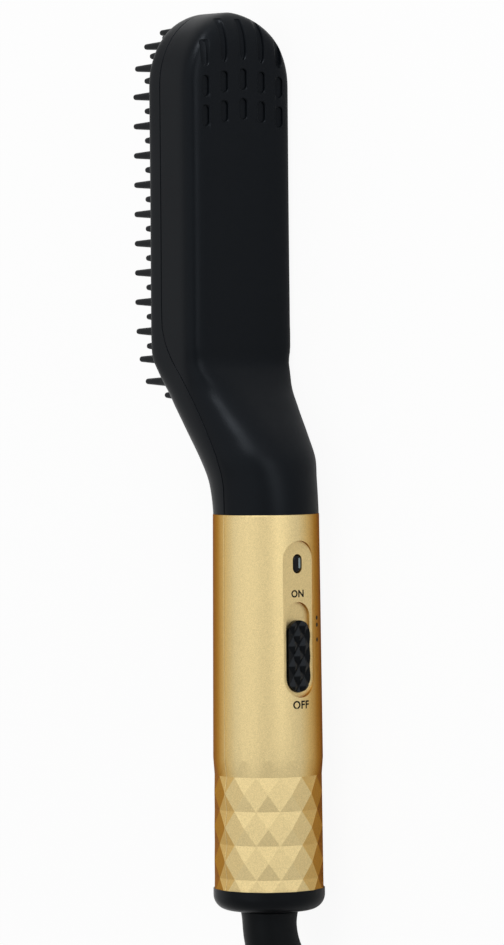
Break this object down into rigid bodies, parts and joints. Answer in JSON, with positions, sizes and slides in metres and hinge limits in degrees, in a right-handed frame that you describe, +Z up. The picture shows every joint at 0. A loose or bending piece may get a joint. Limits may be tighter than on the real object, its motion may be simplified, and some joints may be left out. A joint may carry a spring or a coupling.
{
  "type": "hot comb",
  "caption": "Corded heated beard and hair comb: flat paddle head with side teeth and heated fins on a bent neck, round handle with slide switch and faceted grip.",
  "frame": {"origin": "centre of the comb's bounding box at floor level, cord left out", "axes": "+X along the tool from the cord end to the top of the head, +Y from the switch side to the teeth, +Z up from the floor that the comb lies on, on its side"},
  "size_m": [0.461, 0.0514, 0.0336],
  "materials": {
    "black_plastic": "satin moulded plastic, fine texture",
    "guard_plastic": "moulded heat-resistant plastic",
    "coated_aluminium": "ceramic-coated, satin",
    "ceramic": "fired ceramic, dull",
    "film": "polyimide film, glossy",
    "spring_steel": "rolled",
    "screw_steel": "zinc plated",
    "switch_plastic": "moulded",
    "wire_red": "extruded insulation",
    "gold_paint": "champagne gold metallic lacquer on moulded plastic, satin gloss",
    "cap_plastic": "moulded, satin gloss",
    "board": "solder mask",
    "led_clear": "clear epoxy",
    "lens": "smoked, polished",
    "knob_plastic": "moulded, satin gloss",
    "contact_brass": "stamped",
    "wire_blue": "extruded insulation",
    "cord_rubber": "soft vinyl, satin",
    "tie_plastic": "vinyl-coated wire",
    "pin_steel": "nickel-plated brass"
  },
  "bodies": {
    "tool": {"head_back_shell": "black_plastic", "head_front_frame": "black_plastic", "comb_guard": "guard_plastic", "heating_plate": "coated_aluminium", "heater_element": "ceramic", "insulation_film": "film", "heater_clamp": "spring_steel", "plate_screws": "screw_steel", "thermal_fuse": "ceramic", "thermostat": "switch_plastic", "neck_wires": "wire_red", "handle_back_shell": "gold_paint", "handle_front_shell": "gold_paint", "handle_screws": "screw_steel", "end_cap": "cap_plastic", "circuit_board": "board", "slide_switch": "spring_steel", "control_chip": "switch_plastic", "indicator_led": "led_clear", "indicator_lens": "lens", "supply_wires": "wire_blue", "cord_lead": "cord_rubber", "cord_hank": "cord_rubber", "cord_tie": "tie_plastic", "cord_tail": "cord_rubber", "plug_body": "cord_rubber", "plug_pins": "pin_steel"},
    "switch": {"switch_knob": "knob_plastic", "switch_carrier": "contact_brass"},
    "swivel": {"swivel_hub": "contact_brass", "cord_boot": "cord_rubber"}
  },
  "joints": [
    {"name": "switch_slide", "type": "slide", "parent": "tool", "child": "switch", "axis": [1, 0, 0], "range_m": [0, 0.0044]},
    {"name": "cord_swivel", "type": "hinge", "parent": "tool", "child": "swivel", "pos_m": [-0.115, -0.0114, 0.0168], "axis": [1, 0, 0], "continuous": true, "deforming": ["cord_lead"]}
  ]
}
